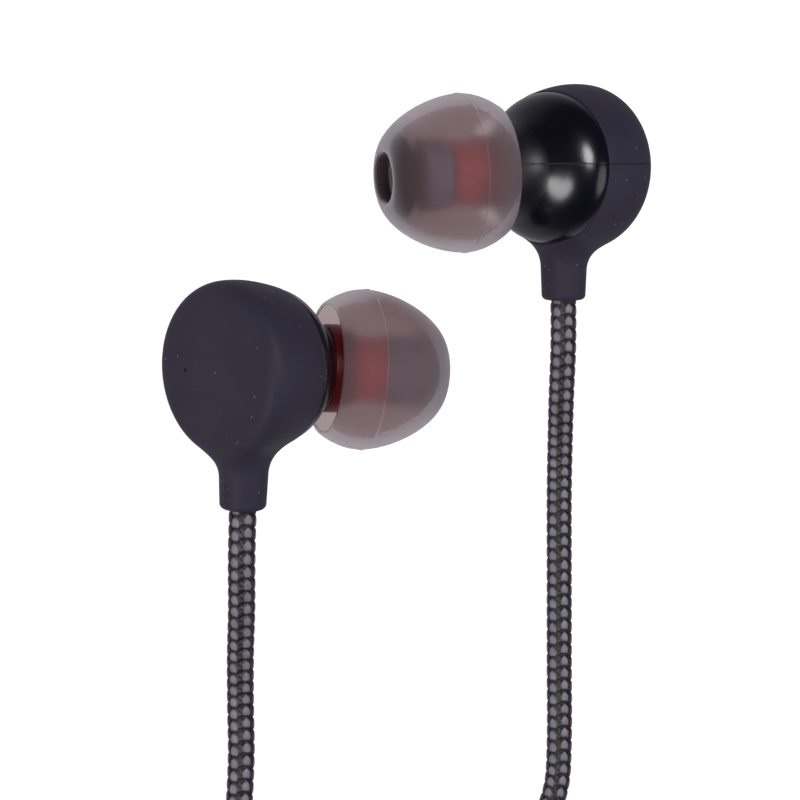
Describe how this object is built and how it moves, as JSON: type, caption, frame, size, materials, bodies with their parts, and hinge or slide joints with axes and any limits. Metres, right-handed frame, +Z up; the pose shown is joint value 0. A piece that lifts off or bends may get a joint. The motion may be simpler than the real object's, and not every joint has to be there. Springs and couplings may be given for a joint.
{
  "type": "wired earphones",
  "caption": "In-ear earphones on a braided cord: disc-shaped buds with a matte back and stem, a glossy front, an angled nozzle with a soft silicone ear tip, a splitter and a jack plug.",
  "frame": {"origin": "On the resting plane, at the middle of the two buds' bounding box", "axes": "+Z up from the resting plane; +X across the two buds, from the right-ear bud to the left-ear bud; the cords leave the buds along -Y"},
  "size_m": [0.0401, 0.1794, 0.0141],
  "materials": {
    "matte_shell": "fine soft-touch matte",
    "gloss_shell": "polished piano black",
    "red_metal": "dark red anodised",
    "mesh_steel": "woven wire",
    "silicone": "translucent smoke-grey silicone",
    "steel": "plated",
    "magnet": "nickel plated",
    "copper": "enamelled wire",
    "film": "thin clear film",
    "board": "solder-masked board",
    "black_cloth": "fine acoustic cloth",
    "black_rubber": "matte",
    "braid": "woven sleeve with a soft sheen",
    "strap": "hook-and-loop strap",
    "gold": "gold plated",
    "black_plastic": "moulded",
    "white_plastic": "moulded"
  },
  "bodies": {
    "earphones": {"right_back_shell": "matte_shell", "right_front_shell": "gloss_shell", "right_nozzle": "red_metal", "right_nozzle_mesh": "mesh_steel", "right_driver_frame": "steel", "right_driver_magnet": "magnet", "right_top_plate": "steel", "right_voice_coil": "copper", "right_diaphragm": "film", "right_driver_board": "board", "right_vent_mesh": "black_cloth", "right_cord_anchor": "black_rubber", "left_back_shell": "matte_shell", "left_front_shell": "gloss_shell", "left_nozzle": "red_metal", "left_nozzle_mesh": "mesh_steel", "left_driver_frame": "steel", "left_driver_magnet": "magnet", "left_top_plate": "steel", "left_voice_coil": "copper", "left_diaphragm": "film", "left_driver_board": "board", "left_vent_mesh": "black_cloth", "left_cord_anchor": "black_rubber", "right_cord": "braid", "left_cord": "braid", "branch_coil": "braid", "branch_tie": "strap", "right_cord_tail": "braid", "left_cord_tail": "braid", "splitter_lower": "matte_shell", "splitter_upper": "matte_shell", "splitter_crimp": "copper", "main_cord": "braid", "main_coil": "braid", "main_tie": "strap", "main_cord_tail": "braid", "plug_relief": "black_rubber", "plug_housing": "matte_shell", "plug_sleeve": "gold", "plug_ring": "gold", "plug_tip": "gold", "plug_insulators": "black_plastic", "plug_core": "white_plastic"},
    "right_tip": {"right_ear_tip": "silicone"},
    "left_tip": {"left_ear_tip": "silicone"}
  },
  "joints": [
    {"name": "right_tip_pull", "type": "slide", "parent": "earphones", "child": "right_tip", "axis": [0.9975, -0.0334, 0.0615], "range_m": [0, 0.008]},
    {"name": "left_tip_pull", "type": "slide", "parent": "earphones", "child": "left_tip", "axis": [-0.9939, -0.0933, -0.0596], "range_m": [0, 0.008]}
  ]
}
